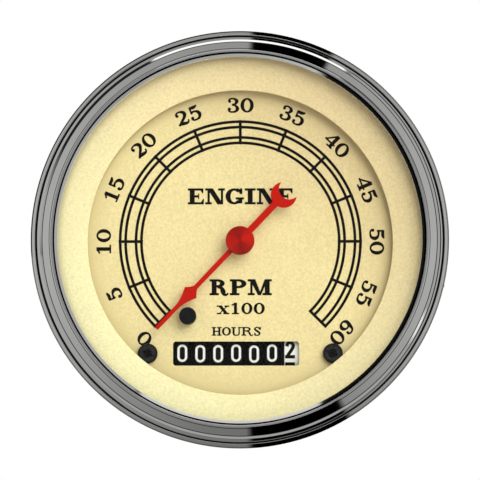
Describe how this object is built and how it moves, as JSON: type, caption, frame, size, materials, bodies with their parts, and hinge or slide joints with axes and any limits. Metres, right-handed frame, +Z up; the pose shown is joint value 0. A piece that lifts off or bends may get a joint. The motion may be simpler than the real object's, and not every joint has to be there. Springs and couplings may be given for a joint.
{
  "type": "panel tachometer",
  "caption": "Round panel tachometer with a chrome bezel, cream dial, red pointer on an air-core movement, hour counter in the dial, black rear case and clamp bracket.",
  "frame": {"origin": "on the gauge's axis, in the plane of the bezel's rear lip, which seats on the front of the panel", "axes": "+Y into the panel along the gauge's axis, with the dial facing -Y; +Z up as the dial reads; +X to the reader's right"},
  "size_m": [0.1174, 0.0722, 0.1174],
  "materials": {
    "bezel": "polished, bright chrome on spun brass",
    "lens": "clear flat glass",
    "gasket": "matt black rubber",
    "dial_ring": "satin cream",
    "dial_face": "satin cream enamel",
    "dial_print": "matt black screen print",
    "black_screws": "blackened steel",
    "pointer_red": "satin signal red",
    "steel": "turned steel",
    "magnet": "ground ferrite",
    "brass": "turned brass",
    "bobbin": "moulded, dark grey",
    "winding": "enamelled copper wire",
    "zinc_plate": "zinc-plated sheet",
    "board": "green solder mask",
    "chip": "moulded black epoxy",
    "capacitor": "blue sleeve",
    "resistor": "tan lacquer",
    "motor_can": "drawn steel can",
    "pinion_white": "moulded acetal",
    "case_black": "black enamel on drawn steel",
    "black_moulding": "moulded black",
    "bulb_glass": "clear bulb glass",
    "wheel_white": "moulded, off-white",
    "wheel_black": "moulded, black"
  },
  "bodies": {
    "housing": {"bezel": "bezel", "lens": "lens", "lens_gasket": "gasket", "dial_ring": "dial_ring", "dial_plate": "dial_face", "scale_print": "dial_print", "dial_screws": "black_screws", "zero_stop": "black_screws", "front_bush": "brass", "rear_bush": "brass", "bobbin_front": "bobbin", "bobbin_rear": "bobbin", "sine_coil": "winding", "cosine_coil": "winding", "shield_tube": "steel", "coil_pins": "brass", "chassis_plate": "zinc_plate", "chassis_screws": "steel", "front_pillars": "brass", "rear_pillars": "brass", "circuit_board": "board", "controller_chip": "chip", "capacitors": "capacitor", "resistors": "resistor", "counter_frame": "zinc_plate", "counter_shaft": "steel", "pinion_shaft": "steel", "counter_motor": "motor_can", "case": "case_black", "case_screws": "steel", "lamp_holders": "black_moulding", "lamp_bulbs": "bulb_glass", "terminal_block": "black_moulding", "terminal_studs": "brass", "terminal_nuts": "brass", "terminal_washers": "brass", "bracket_studs": "zinc_plate", "clamp_bracket": "zinc_plate", "bracket_washers": "zinc_plate", "bracket_nuts": "zinc_plate"},
    "pointer_assembly": {"pointer": "pointer_red", "pointer_hub": "pointer_red", "spindle": "steel", "rotor_magnet": "magnet"},
    "wheel_1": {"number_wheel_1": "wheel_white"},
    "wheel_2": {"number_wheel_2": "wheel_black"},
    "wheel_3": {"number_wheel_3": "wheel_black"},
    "wheel_4": {"number_wheel_4": "wheel_black"},
    "wheel_5": {"number_wheel_5": "wheel_black"},
    "wheel_6": {"number_wheel_6": "wheel_black"},
    "wheel_7": {"number_wheel_7": "wheel_black"},
    "pinion_1": {"carry_pinion_1": "pinion_white"},
    "pinion_2": {"carry_pinion_2": "pinion_white"},
    "pinion_3": {"carry_pinion_3": "pinion_white"},
    "pinion_4": {"carry_pinion_4": "pinion_white"},
    "pinion_5": {"carry_pinion_5": "pinion_white"},
    "pinion_6": {"carry_pinion_6": "pinion_white"},
    "drive": {"drive_gear": "pinion_white"},
    "motor_rotor": {"motor_pinion": "brass"}
  },
  "joints": [
    {"name": "pointer_sweep", "type": "hinge", "parent": "housing", "child": "pointer_assembly", "pos_m": [0, 0, 0], "axis": [0, 1, 0], "range_deg": [-1.5, 272]},
    {"name": "wheel_1_spin", "type": "hinge", "parent": "housing", "child": "wheel_1", "pos_m": [0.01395, 0.0139, -0.0316], "axis": [-1, 0, 0], "continuous": true},
    {"name": "wheel_2_spin", "type": "hinge", "parent": "housing", "child": "wheel_2", "pos_m": [0.0089, 0.0139, -0.0316], "axis": [-1, 0, 0], "continuous": true},
    {"name": "wheel_3_spin", "type": "hinge", "parent": "housing", "child": "wheel_3", "pos_m": [0.00385, 0.0139, -0.0316], "axis": [-1, 0, 0], "continuous": true},
    {"name": "wheel_4_spin", "type": "hinge", "parent": "housing", "child": "wheel_4", "pos_m": [-0.0012, 0.0139, -0.0316], "axis": [-1, 0, 0], "continuous": true},
    {"name": "wheel_5_spin", "type": "hinge", "parent": "housing", "child": "wheel_5", "pos_m": [-0.00625, 0.0139, -0.0316], "axis": [-1, 0, 0], "continuous": true},
    {"name": "wheel_6_spin", "type": "hinge", "parent": "housing", "child": "wheel_6", "pos_m": [-0.0113, 0.0139, -0.0316], "axis": [-1, 0, 0], "continuous": true},
    {"name": "wheel_7_spin", "type": "hinge", "parent": "housing", "child": "wheel_7", "pos_m": [-0.01635, 0.0139, -0.0316], "axis": [-1, 0, 0], "continuous": true},
    {"name": "pinion_1_spin", "type": "hinge", "parent": "housing", "child": "pinion_1", "pos_m": [0.01142, 0.0251, -0.0316], "axis": [-1, 0, 0], "continuous": true},
    {"name": "pinion_2_spin", "type": "hinge", "parent": "housing", "child": "pinion_2", "pos_m": [0.00637, 0.0251, -0.0316], "axis": [-1, 0, 0], "continuous": true},
    {"name": "pinion_3_spin", "type": "hinge", "parent": "housing", "child": "pinion_3", "pos_m": [0.00133, 0.0251, -0.0316], "axis": [-1, 0, 0], "continuous": true},
    {"name": "pinion_4_spin", "type": "hinge", "parent": "housing", "child": "pinion_4", "pos_m": [-0.00373, 0.0251, -0.0316], "axis": [-1, 0, 0], "continuous": true},
    {"name": "pinion_5_spin", "type": "hinge", "parent": "housing", "child": "pinion_5", "pos_m": [-0.00877, 0.0251, -0.0316], "axis": [-1, 0, 0], "continuous": true},
    {"name": "pinion_6_spin", "type": "hinge", "parent": "housing", "child": "pinion_6", "pos_m": [-0.01383, 0.0251, -0.0316], "axis": [-1, 0, 0], "continuous": true},
    {"name": "drive_spin", "type": "hinge", "parent": "housing", "child": "drive", "pos_m": [0.0181, 0.0251, -0.0316], "axis": [-1, 0, 0], "continuous": true},
    {"name": "motor_spin", "type": "hinge", "parent": "housing", "child": "motor_rotor", "pos_m": [0.0189, 0.0336, -0.0316], "axis": [-1, 0, 0], "continuous": true}
  ],
  "couplings": [
    {"joint": "wheel_2_spin", "follows": "wheel_1_spin", "ratio": 0.1},
    {"joint": "wheel_3_spin", "follows": "wheel_1_spin", "ratio": 0.01},
    {"joint": "wheel_4_spin", "follows": "wheel_1_spin", "ratio": 0.001},
    {"joint": "wheel_5_spin", "follows": "wheel_1_spin", "ratio": 0.0001},
    {"joint": "wheel_6_spin", "follows": "wheel_1_spin", "ratio": 0.00001},
    {"joint": "wheel_7_spin", "follows": "wheel_1_spin", "ratio": 0.000001},
    {"joint": "pinion_1_spin", "follows": "wheel_1_spin", "ratio": -0.25},
    {"joint": "pinion_2_spin", "follows": "wheel_1_spin", "ratio": -0.025},
    {"joint": "pinion_3_spin", "follows": "wheel_1_spin", "ratio": -0.0025},
    {"joint": "pinion_4_spin", "follows": "wheel_1_spin", "ratio": -0.00025},
    {"joint": "pinion_5_spin", "follows": "wheel_1_spin", "ratio": -0.000025},
    {"joint": "pinion_6_spin", "follows": "wheel_1_spin", "ratio": -0.0000025},
    {"joint": "drive_spin", "follows": "wheel_1_spin", "ratio": -2.5},
    {"joint": "motor_spin", "follows": "wheel_1_spin", "ratio": 6}
  ]
}
